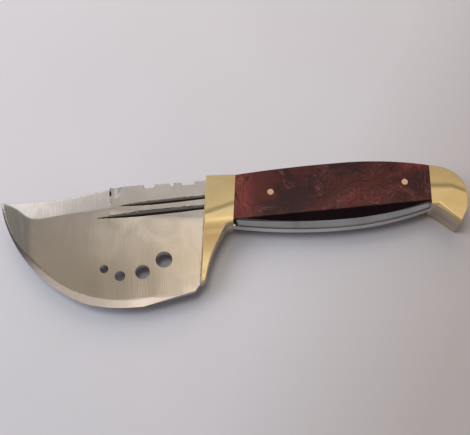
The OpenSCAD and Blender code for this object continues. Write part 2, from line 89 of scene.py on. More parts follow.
# The three arcs of the edge: centre, radius, first and last angle
BELLY = (((-28.61, 19.585), 72.2, 180.0, 237.0), ((-43.969, -4.065), 44.0, 237.0, 257.5),
         ((-37.259, 26.2), 75.0, 257.5, 270.0))
ROUND = ((111.085, -7.8), 16.0)
BEAK = (10.5, -21.2)  # the beak's point, x from the round's centre
BEAK_FACET = 1.4
# Gaps filed in the spine: how far ahead of the guard, width
GAPS = ((29.4, 5.1), (16.6, 1.9), (10.7, 6.1))
GAP_FLOOR = SPINE_Y - 1.2
GAP_SLANT = 1.1
# Fullers: length, height of the axis at the tip, depth, radius of the rim
FULLERS = ((42.4, 1.9, 0.9, 1.25), (53.2, -3.6, 1.1, 1.5))
FULLER_TURN = math.radians(1.9)
HOLES = ((-50.3, -29.4, 4.0), (-42.9, -33.4, 5.0), (-32.1, -32.3, 7.0), (-21.6, -27.0, 8.0))
PINS = ((31.8, 0.8), (97.1, 0.8))
PIN_HOLE = 3.06
FACET = math.tan(math.radians(36))
FACET_Y = -11.3  # the facet's upper line at the bolster
FACET_RISE = math.tan(math.radians(1.31))
BEVEL = math.tan(math.radians(40.5))
BEVEL_Y = -17.9 + 2.7 / BEVEL
BEVEL_FRONT = ((PALM_X, 335.0 + BEVEL_Y), 335.0)
BEVEL_REAR = ((PALM_X, 196.0 + BEVEL_Y), 196.0)
RELIEF = 1.8  # radius of the relief in a liner's front corner
EDGE_SLOPE = math.tan(math.radians(19))
EDGE_HALF = 0.1  # half the width of the cutting edge
# Slanted planes of the blade, half thickness = first + second * x + third * y
SWEDGE = (4.071, 0.0326, -0.0507)
POINT = (7.765, 0.0744, -0.0043)


# ---------------- outlines

def arc(c, r, a0, a1, n):
    """n points on the circle of radius r round c, from angle a0 to a1 in degrees."""
    a = np.radians(np.linspace(a0, a1, n))
    return np.column_stack([c[0] + r * np.cos(a), c[1] + r * np.sin(a)])


def high(circle, x, way=1):
    """Height of a circle's upper side over x, or of its lower side with way = -1."""
    return circle[0][1] + way * np.sqrt(circle[1] ** 2 - (x - circle[0][0]) ** 2)


low = partial(high, way=-1)


def two_arcs(side, front, rear, x):
    """Height over x of two arcs that meet level, over their centres."""
    x, top = np.asarray(x, float), front[0][0]
    return np.where(x < top, side(front, np.minimum(x, top)), side(rear, np.maximum(x, top)))


# The handle's back and its belly, and the line where a liner's bevel meets its scale
back_y = partial(two_arcs, high, BACK_FRONT, BACK_REAR)
palm_y = partial(two_arcs, low, PALM_FRONT, PALM_REAR)
bevel_y = partial(two_arcs, low, BEVEL_FRONT, BEVEL_REAR)


def front_seam(y):
    """The point of the joint behind the bolster at height y."""
    return (BOLSTER_W + LEAN * y, y)


def rear_seam(y):
    """The point of the joint before the pommel at height y."""
    return (POMMEL_X + POMMEL_LEAN * y, y)


# Where the back meets the two joints, and where the handle's belly meets the rear one
BACK_ENDS = (front_seam(float(back_y(15.7))), rear_seam(float(back_y(POMMEL_X + 0.7))))
PALM_END = rear_seam(float(palm_y(POMMEL_X - POMMEL_LEAN * 11)))


def along(curve, x0, x1, step):
    """Points of a curve over x, about step apart, from x0 to x1."""
    x = np.linspace(x0, x1, max(2, int(abs(x1 - x0) / step) + 1))
    return np.column_stack([x, curve(x)])


def seg(p, q, step):
    """Points along the straight line from p to q, about step apart."""
    n = max(2, int(math.dist(p, q) / step) + 1)
    return np.linspace(p, q, n)


def meet(c1, r1, c2, r2):
    """The left one of the two points where two circles meet."""
    c1, c2 = np.array(c1), np.array(c2)
    d = c2 - c1
    n = np.hypot(*d)
    a = (r1 ** 2 - r2 ** 2 + n ** 2) / (2 * n)
    h = math.sqrt(r1 ** 2 - a ** 2)
    return c1 + a / n * d - h / n * np.array([-d[1], d[0]])


def arc_between(c, r, p, q, step):
    """The short way round the circle of radius r at c, from p to q."""
    a0 = math.atan2(p[1] - c[1], p[0] - c[0])
    a1 = math.atan2(q[1] - c[1], q[0] - c[0])
    turn = (a1 - a0 + math.pi) % (2 * math.pi) - math.pi
    n = max(3, int(abs(turn) * r / step) + 1)
    return arc(c, r, math.degrees(a0), math.degrees(a0 + turn), n)


def chain(*parts):
    """Joins runs of points into one closed loop and drops points that repeat."""
    p = np.vstack(parts)
    keep = np.hypot(*(p - np.roll(p, 1, axis=0)).T) > 1e-3
    return p[keep]


GUARD_ROOT = (10.4, float(low(PALM_FRONT, 10.4)))


def onto(circle, point):
    """The point of a circle that is nearest to another point."""
    c = np.array(circle[0])
    return c + circle[1] * (point - c) / np.hypot(*(point - c))


def guard_rear(step):
    """The guard's rear edge from its foot to the handle's belly: a long hollow arc and a small hollow
    corner. Also gives the corner's last point."""
    p, q = np.array(GUARD_FOOT), np.array(GUARD_ROOT)
    d = q - p
    n = np.hypot(*d)
    h = math.sqrt(GUARD_BACK_R ** 2 - n * n / 4)
    c = (p + q) / 2 - h / n * np.array([-d[1], d[0]])
    f = meet(PALM_FRONT[0], PALM_FRONT[1] + CORNER_R, c, GUARD_BACK_R - CORNER_R)
    a = onto(PALM_FRONT, f)
    b = onto((c, GUARD_BACK_R), f)
    return np.vstack([arc_between(f, CORNER_R, a, b, step * 0.5),
                      arc_between(c, GUARD_BACK_R, b, GUARD_FOOT, step)])[::-1], a


def pommel_points(step):
    """The pommel's outline in two runs: from the back's crest round the end to the beak's point, and
    from there by the hollow corner to the handle's belly. Then the crest, the belly's end, the
    beak's point, its throat, and the way out of its inner side."""
    rc, rr = np.array(ROUND[0]), ROUND[1]
    beak = np.array([rc[0] + BEAK[0], BEAK[1]])
    bc, br = np.array(BACK_REAR[0]), BACK_REAR[1]
    crest = bc + br / (br - rr) * (rc - bc)
    d = beak - rc
    t = math.atan2(d[1], d[0]) + math.acos(rr / np.hypot(*d))
    end = rc + rr * np.array([math.cos(t), math.sin(t)])
    throat = np.array([POMMEL_X + 0.7, float(low(PALM_REAR, POMMEL_X + 0.7))])
    u = (beak - throat) / np.hypot(*(beak - throat))
    out = np.array([u[1], -u[0]])
    k = CORNER_R
    w = throat + k * out - np.array(PALM_REAR[0])
    b = w @ u
    s = -b + math.sqrt(b * b - w @ w + (PALM_REAR[1] + k) ** 2)
    f = throat + k * out + s * u
    a = onto(PALM_REAR, f)
    outer = np.vstack([arc_between(rc, rr, crest, end, step), seg(end, beak, step)])
    inner = np.vstack([seg(beak, f - k * out, step), arc_between(f, k, f - k * out, a, step * 0.5)])
    return outer, inner, crest, a, beak, throat, out


# ---------------- heights of the blade

def grind_line(x):
    """The wavy upper border of the ground flank, drawn by hand on the grinder: straight stretches
    between stations, rounded where they meet."""
    sx = np.array([-101, -96, -91, -86.5, -80.5, -66, -54, -46, -38, -31, -24, 0, 20], float)
    sy = np.array([9.5, 7.6, 4.6, -0.4, -1.6, -0.2, 0.5, 1.4, 0.2, -1.6, -4.8, -7.6, -9], float)
    blur = np.linspace(-2.5, 2.5, 11)
    return np.mean([np.interp(x + b, sx, sy) for b in blur], axis=0)


def step01(t):
    """Smooth step from 0 to 1."""
    t = np.clip(t, 0.0, 1.0)
    return t * t * (3 - 2 * t)


def soft_min(a, b, k):
    """The lower of two heights, rounded over k where they cross."""
    h = np.clip(0.5 + 0.5 * (b - a) / k, 0.0, 1.0)
    return b + (a - b) * h - k * h * (1 - h)


def plane(p, x, y):
    """Height of a slanted plane over x and y."""
    return p[0] + p[1] * x + p[2] * y


def from_edge(x, y):
    """Distance inwards from the cutting edge: radius less distance to the centre of the arc whose
    sector the point is in, and the height above the level stretch behind the last arc."""
    inwards = [r - np.hypot(x - c[0], y - c[1]) for c, r, _, _ in BELLY]
    done = x > BELLY[2][0][0]
    out = np.where(done, y - BELLY_Y, inwards[0])
    for (c, _, a0, a1), inward in zip(BELLY, inwards):
        a = np.degrees(np.arctan2(y - c[1], x - c[0])) % 360
        mine = ~done & (a >= a0 - 0.01) & (a <= a1 + 0.01)
        out = np.where(mine, inward, out)
        done = done | mine
    return out


def in_fuller(x, y, fuller):
    """Where a point lies in a fuller: distance along it from its tip, height above its middle line,
    the groove's radius there, and how far the groove's axis lies above the flank. The radius grows
    from nothing to the rim's over the first two fifths and shrinks a little at the guard."""
    length, y0, depth, rim = fuller
    t = (x + length) / math.cos(FULLER_TURN)
    axis = rim - depth
    r = np.interp(t, [0, 0.2 * length, 0.4 * length, 0.7 * length, length + 3],
                  [axis, axis + 0.62 * depth, rim, rim, 0.8 * rim])
    return t, y - (y0 + (x + length) * math.tan(FULLER_TURN)), r, axis


def fuller_floor(x, y, fuller):
    """Height of the floor of one fuller, a round groove, and above the handle outside it."""
    t, d, r, axis = in_fuller(x, y, fuller)
    inside = (t > 0) & (np.abs(d) < r)
    return np.where(inside, HALF + axis - np.sqrt(np.maximum(r * r - d * d, 0)), SIDE)


def dark_marks_and_shade(x, y):
    """How dark the steel is painted, from 0 to 1: the fullers, whose floors are left unpolished and whose
    painted dark reflection is deepest along their lower rims, the painted shadow at the foot of the
    scallop in the spine, and the tang's edge in the pommel, darker overall."""
    dark = np.zeros(len(x))
    for fuller in FULLERS:
        t, d, r, axis = in_fuller(x, y, fuller)
        half = np.sqrt(np.maximum(r * r - axis ** 2, 0))
        d = d / np.maximum(half, 0.05)
        inside = (t > 0.3) & (np.abs(d) < 1.0)
        # The fullers: unpolished floors, with a painted dark reflection that grows towards the lower rim.
        dark = np.where(inside, np.maximum(dark, 0.35 + 0.65 * step01((1.0 - d) / 1.1)), dark)
    # Painted shadow at the foot of the scallop in the spine.
    pit = np.hypot((x - CLIP_X) / 0.5, (y - 8.7) / 1.5)
    # The tang's edge inside the pommel is darker overall.
    return np.where(x > POMMEL_X, 0.35, np.maximum(dark, step01((1.3 - pit) / 0.5)))


def blade_height(x, y):
    """Half thickness of the steel over the blade: the flat above the grind line, the swedge in front
    of the scallop, the flank's slow taper below the line, the bevel along the edge, then the
    fullers, the scallop and the slanted corners of the gaps in the spine."""
    line = grind_line(x)
    flat = HALF - 0.008 * np.maximum(y - line, 0.0)
    upper = np.where(x < CLIP_END[0], np.minimum(flat, plane(SWEDGE, x, y)), flat)
    front = plane(SWEDGE, x, line)
    at_line = np.minimum(HALF, front)
    turn = (soft_min(HALF, front, 0.5) - at_line) * step01((line - y) / 12)
    slope = 0.0230 - 0.0080 * step01((-30 - x) / 40)
    lower = at_line + turn - slope * (line - y) - 0.00006 * (line - y) ** 2
    h = soft_min(upper, lower + 0.02, 0.05)
    h = soft_min(h, plane(POINT, x, y), 0.03)
    for fuller in FULLERS:
        h = np.minimum(h, fuller_floor(x, y, fuller))
    d = x - (CLIP_X + SCALLOP_LEAD)
    hollow = (SCALLOP_R - np.sqrt(np.maximum(SCALLOP_R ** 2 - d * d, 0))) / STEEP_COS
    scoop = HALF - math.tan(STEEP) * (y - SCALLOP_Y) + hollow
    h = np.where((x > CLIP_X) & (np.abs(d) < 5.9) & (y > 4), np.minimum(h, scoop), h)
    for g, w in GAPS:
        inside = (x > -g - 1e-6) & (x < -g + w + 1e-6)
        h = np.where(inside, np.minimum(h, HALF - GAP_SLANT + np.maximum(GAP_FLOOR - y, 0.0)), h)
    edge = EDGE_HALF + np.maximum(from_edge(x, y), 0.0) * EDGE_SLOPE
    h = soft_min(h, edge, 0.03)
    return np.where(x > LEAN * y - 0.02, HALF, np.clip(h, EDGE_HALF, HALF))


# ---------------- meshes

def inside_loop(p, loop):
    """Whether points lie inside a closed loop, by counting the sides that a level ray crosses."""
    x, y = p[:, 0][:, None], p[:, 1][:, None]
    a, b = loop, np.roll(loop, -1, axis=0)
    over = (a[:, 1] > y) != (b[:, 1] > y)
    with np.errstate(divide="ignore", invalid="ignore"):
        cut = a[:, 0] + (y - a[:, 1]) * (b[:, 0] - a[:, 0]) / (b[:, 1] - a[:, 1])
    return (np.sum(over & (x < cut), axis=1) % 2) == 1


def distance(p, runs):
    """Distance from points to the nearest of several open runs of straight pieces."""
    best = np.full(len(p), 1e9)
    for run in runs:
        a, b = run[:-1], run[1:]
        d = b - a
        ll = np.maximum((d * d).sum(1), 1e-12)
        for i0 in range(0, len(p), 20000):
            q = p[i0:i0 + 20000]
            t = np.clip(((q[:, None] - a) * d).sum(2) / ll, 0, 1)
            m = np.sqrt((((a + t[..., None] * d) - q[:, None]) ** 2).sum(2)).min(1)
            best[i0:i0 + 20000] = np.minimum(best[i0:i0 + 20000], m)
    return best


def closed(loop):
    """A loop as a run that ends where it began."""
    return np.vstack([loop, loop[:1]])


def ease(d, r):
    """How far a rounded edge of radius r lies below the face at distance d from the wall."""
    t = np.clip(r - d, 0, r)
    return r - np.sqrt(np.maximum(r * r - t * t, 0))


def rings(loop, depths):
    """Copies of a loop moved inwards by each depth, along the mean normal of its two sides."""
    d = np.roll(loop, -1, axis=0) - np.roll(loop, 1, axis=0)
    n = np.column_stack([-d[:, 1], d[:, 0]]) / np.maximum(np.hypot(d[:, 0], d[:, 1]), 1e-9)[:, None]
    a, b = loop, np.roll(loop, -1, axis=0)
    area = np.sum(a[:, 0] * b[:, 1] - b[:, 0] * a[:, 1])
    return [loop + math.copysign(1, area) * n * k for k in depths]


def plan_triangles(loops, extra):
    """Triangles of the plan inside the first loop and outside the others. The loops' sides are kept,
    and the extra points are taken where they lie clear of every side."""
    def on_plan(p):
        holes = [inside_loop(p, loop) for loop in loops[1:]]
        return inside_loop(p, loops[0]) & ~np.any(holes, axis=0)

    edges, n = [], 0
    for loop in loops:
        i = np.arange(len(loop))
        edges.append(np.column_stack([i, np.roll(i, -1)]) + n)
        n += len(loop)
    extra = extra[on_plan(extra)]
    extra = extra[distance(extra, list(map(closed, loops))) > 0.045]
    points = np.vstack([*loops, extra])
    v, _, f, *_ = delaunay_2d_cdt(list(map(Vector, points.tolist())), np.vstack(edges).tolist(),
                                  [], 0, 1e-6)
    v, f = np.array(v), np.array(f)
    f = f[on_plan(v[f].mean(1))]
    a, b, c = v[f[:, 0]], v[f[:, 1]], v[f[:, 2]]
    area = (b[:, 0] - a[:, 0]) * (c[:, 1] - a[:, 1]) - (b[:, 1] - a[:, 1]) * (c[:, 0] - a[:, 0])
    return v, f[area > 1e-9]


def plate(area, step, loop, depths, holes=(), extra=()):
    """Plan triangles of a plate: a lattice over the area, clear of the rim, the extra points, and the
    rings of points at the given depths that shape the rim."""
    points = grid(*area, step)
    clear = distance(points, [closed(loop)]) > depths[-1] + 0.15
    return plan_triangles([loop, *holes], np.vstack([points[clear], *extra, *rings(loop, depths)]))


def put(name, data):
    """A new object in the scene."""
    obj = bpy.data.objects.new(name, data)
    bpy.context.scene.collection.objects.link(obj)
    return obj


def slab(name, v, f, top, bottom):
    """A closed piece between two heights over one plan: the upper face, the lower face turned over,
    and a wall along every side that only one triangle has. It is mirrored through z = 0 if its name
    ends in right."""
    flip = name.endswith("right")
    n = len(v)
    e = np.vstack([f[:, [0, 1]], f[:, [1, 2]], f[:, [2, 0]]])
    _, first, count = np.unique(np.sort(e, axis=1), axis=0, return_index=True, return_counts=True)
    rim = e[first[count == 1]]
    z = np.concatenate([top, np.broadcast_to(bottom, n)])
    xyz = np.column_stack([np.vstack([v, v]), -z if flip else z])
    walls = np.column_stack([rim[:, 1], rim[:, 0], rim[:, 0] + n, rim[:, 1] + n])
    tris = np.vstack([f, f[:, ::-1] + n])
    if flip:
        tris, walls = tris[:, ::-1], walls[:, ::-1]
    xyz = (xyz - np.array([BOX_X, BOX_Y, -SIDE])) * 0.001
    mesh = bpy.data.meshes.new(name)
    mesh.vertices.add(len(xyz))
    mesh.vertices.foreach_set("co", xyz.astype(np.float32).ravel())
    loops = np.concatenate([tris.ravel(), walls.ravel()]).astype(np.int32)
    starts = np.concatenate([np.arange(len(tris)) * 3, len(tris) * 3 + np.arange(len(walls)) * 4])
    mesh.loops.add(len(loops))
    mesh.loops.foreach_set("vertex_index", loops)
    mesh.polygons.add(len(starts))
    mesh.polygons.foreach_set("loop_start", starts.astype(np.int32))
    mesh.update(calc_edges=True)
    mesh.validate()
    mesh.shade_smooth()
    return put(name, mesh)


def grid(x0, x1, y0, y1, step):
    """Points of a triangular lattice, rows half a step out of line."""
    xs = np.arange(x0, x1, step)
    ys = np.arange(y0, y1, step * 0.866)
    gx, gy = np.meshgrid(xs, ys)
    gx = gx + (np.arange(len(ys)) % 2)[:, None] * step * 0.5
    return np.column_stack([gx.ravel(), gy.ravel()])


def circle_loop(x, y, d, n):
    """n points round a hole of diameter d."""
    return arc((x, y), d / 2, 0, 360 * (1 - 1 / n), n)


def through(a, b, c, x, y):
    """Height over x and y of the plane through three points."""
    n = np.cross(b - a, c - a)
    return a[2] - (n[0] * (x - a[0]) + n[1] * (y - a[1])) / n[2]


def finish_piece(obj, nodes, material, angle=32.0):
    """Marks creases sharper than angle, gives the piece its finish, and ties it to the frame."""
    obj.data.set_sharp_from_angle(angle=math.radians(angle))
    obj.data.materials.append(material)
    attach(obj, "root")
    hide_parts(*nodes)


def blade_outline(step):
    """The steel's whole outline against the clock: point, belly, heel, guard, handle, beak, round
    end, back, and the spine with its three gaps and the clip."""
    a_tip = math.degrees(math.atan2(TIP[1] - BELLY[0][0][1], TIP[0] - BELLY[0][0][0])) % 360
    belly = [arc(c, r, max(a0, a_tip), a1, int(math.radians(a1 - a0) * r / step))
             for c, r, a0, a1 in BELLY]
    start = (HEEL[0] + (BELLY_Y - HEEL[1]) / math.tan(STEEP), BELLY_Y)
    rear, root = guard_rear(step)
    outer, inner, crest, throat_end, *_ = pommel_points(step)
    back = along(back_y, crest[0], 15.8, 2.0)
    spine = [(-0.4, SPINE_Y)]
    for g, w in reversed(GAPS):
        spine += [(-g + w, SPINE_Y), (-g + w, GAP_FLOOR), (-g, GAP_FLOOR), (-g, SPINE_Y)]
    spine += [(CLIP_X, SPINE_Y)]
    top = [seg(p, q, step) for p, q in zip(spine, spine[1:])]
    return chain(*belly, seg(start, HEEL, step), seg(HEEL, GUARD_TOE, step),
                 seg(GUARD_TOE, GUARD_FOOT, step), rear,
                 along(palm_y, root[0], throat_end[0], 2.0), inner[::-1], outer[::-1],
                 back, seg(back[-1], (1.516, SPINE_Y), step), *top,
                 arc_between(*CLIP, CLIP_END, TIP, step))


def darken(obj, values):
    """Gives a slab the attribute by which its metal is darkened, for dark marks and painted shade, the
    same on both faces.
    """
    shade = obj.data.attributes.new("dark_marks_and_shade", "FLOAT", "POINT")
    shade.data.foreach_set("value", np.tile(values, 2).astype(np.float32))
    return obj


def make_blade(step):
    """The blade: plan triangles from a lattice, with extra rows along the fullers, the grind line
    and the edge bevel, lifted by blade_height on both sides, its rim rounded behind the edge."""
    loop = blade_outline(step)
    holes = [circle_loop(x, y, d, 48) for x, y, d in HOLES]
    x = np.linspace(-99.5, 1.0, 340)
    rows = [np.column_stack([x, grind_line(x) + o]) for o in (-0.35, -0.12, 0.0, 0.12, 0.35)]
    for length, y0, _, rim in FULLERS:
        fx = np.linspace(-length, 1.0, 260)
        fy = y0 + (fx + length) * math.tan(FULLER_TURN)
        rows += [np.column_stack([fx, fy + k * rim]) for k in np.linspace(-1, 1, 15)]
    rows += [arc(c, r - d, a0, a1, int(math.radians(a1 - a0) * r / 0.8))
             for c, r, a0, a1 in BELLY for d in (0.4, 0.9, 1.4, 1.8, 2.4, 3.0, 3.6, 4.0, 4.4)]
    rows += [grid(-101, 3, -50, 13, step), grid(3, 128, -24, 14, 4.0),
             grid(-46.6, -37, 4.5, 12.5, 0.3)]
    rows += [np.column_stack([np.full(30, k), np.linspace(4.6, 11.9, 30)]) for k in (-46.04, -45.99)]
    rows += [h + (h - h.mean(0)) * 0.06 for h in holes]
    v, f = plan_triangles([loop] + holes, np.vstack(rows + rings(loop, (0.07, 0.15, 0.26))))
    x, y = v.T
    h = blade_height(x, y)
    blunt = loop[np.argmax(loop[:, 0] >= HEEL[0] - 1e-6):]
    near = (y > 2.0) | (x > HEEL[0] - 1.0)
    h[near] = np.maximum(h[near] - ease(distance(v[near], [blunt]), 0.25), EDGE_HALF)
    return darken(slab("ground_blade", v, f, h, -h), dark_marks_and_shade(x, y))


def make_liner(step, side):
    """One steel liner: flat, with a bevel of two cones along the belly and a small relief in its
    lower front corner. Its seam with the tang is darkened as a dark joint, and its front corner by the
    bolster carries a painted shadow."""
    corner_x = BOLSTER_W - LEAN * 17.9
    corner = (corner_x, float(palm_y(corner_x)))
    front_top, rear_top = BACK_ENDS
    xs = np.linspace(corner_x, POMMEL_X, 200)
    belly = np.column_stack([xs, palm_y(xs)])
    belly = belly[(np.hypot(*(belly - corner).T) > RELIEF) & (xs < PALM_END[0] - 0.2)]
    belly = np.vstack([belly, [PALM_END]])
    off = front_seam(corner[1] + 1.6)[0] - corner_x
    seam = front_seam(corner[1] + math.sqrt(RELIEF ** 2 - off ** 2))
    loop = chain(arc_between(corner, RELIEF, seam, belly[0], 0.2), belly, seg(PALM_END, rear_top, step),
                 along(back_y, rear_top[0], front_top[0], 2.0), seg(front_top, seam, step))
    xg = np.linspace(13, POMMEL_X, 200)
    palm, bevel = palm_y(xg), bevel_y(xg)
    rows = [palm + (bevel - palm) * k for k in (0.04, 0.1, 0.3, 0.5, 0.7, 0.9)]
    rows += [bevel + o for o in (0.0, 0.3, 1.0)]
    inner = [grid(12, 112, -18, 14.5, 2.5)] + [np.column_stack([xg, row]) for row in rows]
    v, f = plan_triangles([loop] + pin_holes(), np.vstack(inner))
    x, y = v.T
    past = [np.hypot(x - c[0], y - c[1]) - r for c, r in (BEVEL_FRONT, BEVEL_REAR)]
    top = LINER_TOP - BEVEL * np.maximum(np.where(x < PALM_X, *past), 0.0)
    obj = slab("satin_liner_" + side, v, f, top, HALF)
    seam_line = 0.75 * step01((0.55 - distance(v, [belly])) / 0.4)
    from_corner = np.hypot(x - corner[0], y - corner[1])
    # Painted shadow of the bolster on the front corner, and a dark joint line along the seam.
    return darken(obj, np.maximum(seam_line, step01((RELIEF + 1.7 - from_corner) / 1.2)))


def pin_holes():
    return [circle_loop(x, y, PIN_HOLE, 40) for x, y in PINS]


def make_bolster(step, side):
    """One half of the guard and front bolster: level on the bolster, hollow below it where the guard
    thins towards its foot, and slanted along the lower rear edge."""
    heel, root = guard_rear(step)
    top_rear = front_seam(11.34)
    low_rear = front_seam(float(palm_y(BOLSTER_W - LEAN * 13)))
    spine = (LEAN * SPINE_Y, SPINE_Y)
    front = np.vstack([seg(spine, GUARD_TOE, step), seg(GUARD_TOE, GUARD_FOOT, step)])
    belly = along(palm_y, root[0], low_rear[0], step)
    back = seg(top_rear, spine, step)
    loop = chain(front, heel, belly, seg(low_rear, top_rear, step), back)
    v, f = plate((-7, 18, -42, 13), step, loop, (0.06, 0.13, 0.21, 0.31, 0.45, 0.65, 0.9))
    x, y = v.T
    cove_top, foot_y = GUARD_ROOT[1], GUARD_FOOT[1]
    drop = SIDE - FOOT_T
    r = ((cove_top - foot_y) ** 2 + drop ** 2) / (2 * drop)
    cove = FOOT_T + r - np.sqrt(np.maximum(r * r - (y - foot_y) ** 2, 0))
    z = np.where(y < cove_top + 5, soft_min(SIDE, cove, 1.4), SIDE)
    facet_x = 8.8
    slant = through(np.array([top_rear[0], FACET_Y, SIDE]),
                    np.array([BOLSTER_W, FACET_Y - 1.0, SIDE - FACET]),
                    np.array([facet_x, GUARD_ROOT[1] - 0.5, SIDE]), x, y)
    z = np.where(x > facet_x, soft_min(z, slant, 0.25), z)
    z = z - ease(distance(v, [front, heel, belly, back]), 0.45)
    return slab("brass_guard_" + side, v, f, z, HALF)


def make_pommel(step, side):
    """One half of the pommel: level on its face, rounded round the end, slanted along the inner side
    of the beak, less so towards its throat."""
    outer, inner, crest, _, beak, throat, out = pommel_points(step)
    top = BACK_ENDS[1]
    i = np.argmin(np.abs(inner - PALM_END).sum(1))
    low_end = rear_seam(inner[i, 1])
    inner = np.vstack([inner[:i], [low_end]])
    back = along(back_y, top[0], crest[0], step)
    loop = chain(back, outer, inner, seg(low_end, top, step))
    v, f = plate((107, 128, -23, 12), step, loop, (0.08, 0.18, 0.3, 0.45, 0.62, 0.8, 1.2))
    x, y = v.T
    slant = through(np.append(throat - BEAK_FACET * out, SIDE),
                    np.append(throat, SIDE - BEAK_FACET * FACET), np.append(beak, SIDE), x, y)
    from_throat = (y - throat[1]) * out[0] - (x - throat[0]) * out[1]
    z = soft_min(SIDE, slant + 2.0 * (1.0 - step01((from_throat + 1.0) / 3.0)), 0.3)
    z = z - ease(distance(v, [back, outer, inner]), 0.8)
    return slab("brass_beak_" + side, v, f, z, HALF)


def make_scale(step, side):
    """One resin scale: level, its upper edge rounded, its lower edge planed to the facet."""
    front_top, rear_top = BACK_ENDS
    xs = np.linspace(BOLSTER_W - 1.6, POMMEL_X - 0.8, 120)
    lower = np.column_stack([xs, bevel_y(xs)])
    lower[0] = front_seam(lower[0, 1])
    lower[-1] = rear_seam(lower[-1, 1])
    upper = along(back_y, rear_top[0], front_top[0], step)
    loop = chain(lower, seg(lower[-1], rear_top, step), upper, seg(front_top, lower[0], step))
    xg = np.linspace(14, 109, 160)
    crease = [np.column_stack([xg, FACET_Y - FACET_RISE * (BOLSTER_W - xg) + o])
              for o in (-0.5, -0.25, -0.1, 0, 0.1, 0.25, 0.5)]
    v, f = plate((12, 112, -18, 14.5), step, loop, (0.1, 0.22, 0.38, 0.6, 0.8, 1.0), pin_holes(), crease)
    x, y = v.T
    facet = SIDE + FACET * (FACET_RISE * (BOLSTER_W - x) + y - FACET_Y)
    z = soft_min(SIDE, facet, 0.3) - ease(distance(v, [upper]), 0.9)
    return slab("marbled_scale_" + side, v, f, np.maximum(z, LINER_TOP), LINER_TOP)


# ---------------- finishes

class Nodes:
    """Builds a node tree."""

    def __init__(self, tree):
        self.tree = tree

    def feed(self, socket, source):
        """Links a socket to another one, or gives it a constant."""
        if isinstance(source, bpy.types.NodeSocket):
            self.tree.links.new(source, socket)
        elif socket.type == "RGBA" and len(source) == 3:
            socket.default_value = (*source, 1.0)
        else:
            socket.default_value = source

    def add(self, kind, inputs=(), **values):
        """A shader node of this kind, its values set and its inputs fed, by name or in turn."""
        node = self.tree.nodes.new("ShaderNode" + kind)
        node.location = (180 * len(self.tree.nodes), 0)
        for key, value in values.items():
            setattr(node, key, value)
        for key, source in inputs.items() if isinstance(inputs, dict) else enumerate(inputs):
            self.feed(node.inputs[key], source)
        return node

    def math(self, operation, a, b=0.0):
        return self.add("Math", (a, b), operation=operation).outputs[0]

    def plus(self, a, b):
        return self.math("ADD", a, b)

    def minus(self, a, b):
        return self.math("SUBTRACT", a, b)

    def times(self, first, *others):
        for other in others:
            first = self.math("MULTIPLY", first, other)
        return first

    def vector(self, operation, inputs):
        return self.add("VectorMath", inputs, operation=operation).outputs

    def spread(self, value, low, high, to_low, to_high):
        """Carries the range from low to high over to another one, and holds its ends."""
        return self.add("MapRange", (value, low, high, to_low, to_high)).outputs[0]

    def rise(self, value, low, high):
        """0 at low and 1 at high, whichever is larger."""
        return self.spread(value, low, high, 0.0, 1.0)

    def ramp(self, value, stops):
        node = self.add("ValToRGB", (value,))
        while len(node.color_ramp.elements) < len(stops):
            node.color_ramp.elements.new(0.5)
        for element, (place, colour) in zip(node.color_ramp.elements, stops):
            element.position = place
            element.color = (*colour, 1.0)
        return node.outputs[0]

    def mix(self, factor, a, b, blend="MIX"):
        return self.add("Mix", {0: factor, 6: a, 7: b}, data_type="RGBA",
                        blend_type=blend).outputs[2]

    def here(self):
        return self.add("TexCoord").outputs["Object"]

    def axes(self, vector):
        return self.add("SeparateXYZ", (vector,)).outputs

    def noise(self, vector, scale, detail=3.0, rough=0.5, distort=0.0):
        return self.add("TexNoise", {"Vector": vector, "Scale": scale, "Detail": detail,
                                     "Roughness": rough, "Distortion": distort}).outputs

    def stretch(self, vector, scale):
        return self.add("Mapping", {"Vector": vector, "Scale": scale}).outputs[0]

    def rays(self):
        """1 for rays of the camera and for mirrored ones, and 1 for those of the camera alone."""
        path = self.add("LightPath").outputs
        return self.math("MAXIMUM", path["Is Camera Ray"], path["Is Glossy Ray"]), path["Is Camera Ray"]

    def bump(self, shader, height, strength, distance):
        node = self.add("Bump", {"Height": height, "Strength": strength, "Distance": distance})
        self.feed(shader.inputs["Normal"], node.outputs[0])


def polishing_marks():
    """The group of marks that a buffing wheel leaves: fine parallel lines, soft waves in the surface,
    and the cloudy smears of handling."""
    tree = bpy.data.node_groups.get("polishing_marks")
    if tree:
        return tree
    tree = bpy.data.node_groups.new("polishing_marks", "ShaderNodeTree")
    for way, labels in (("INPUT", ("Lines", "Waves", "Turn")), ("OUTPUT", ("Height", "Smears"))):
        for label in labels:
            tree.interface.new_socket(label, in_out=way, socket_type="NodeSocketFloat")
    n = Nodes(tree)
    given = tree.nodes.new("NodeGroupInput").outputs
    out = tree.nodes.new("NodeGroupOutput").inputs
    here = n.here()
    turned = n.add("VectorRotate", {"Vector": here, "Angle": given["Turn"]},
                   rotation_type="Z_AXIS").outputs[0]
    fine = n.noise(n.stretch(turned, (5200, 60, 900)), 1.0, 2.0)[0]
    broad = n.noise(n.stretch(turned, (1500, 25, 300)), 1.0, 2.0)[0]
    lines = n.times(n.plus(n.times(fine, 0.6), n.times(broad, 0.4)), given["Lines"])
    n.feed(out["Height"], n.plus(lines, n.times(n.noise(here, 42.0, 1.0)[0], given["Waves"])))
    n.feed(out["Smears"], n.rise(n.noise(here, 55.0, 5.0, 0.62, 1.2)[0], 0.42, 0.7))
    return tree


def principled(name, **values):
    """A material with a Principled BSDF whose constants stand on its own sockets."""
    material = bpy.data.materials.new(name)
    material.use_nodes = True
    shader = next(x for x in material.node_tree.nodes if x.type == "BSDF_PRINCIPLED")
    for key, value in values.items():
        shader.inputs[key.replace("_", " ")].default_value = value
    return material, Nodes(material.node_tree), shader


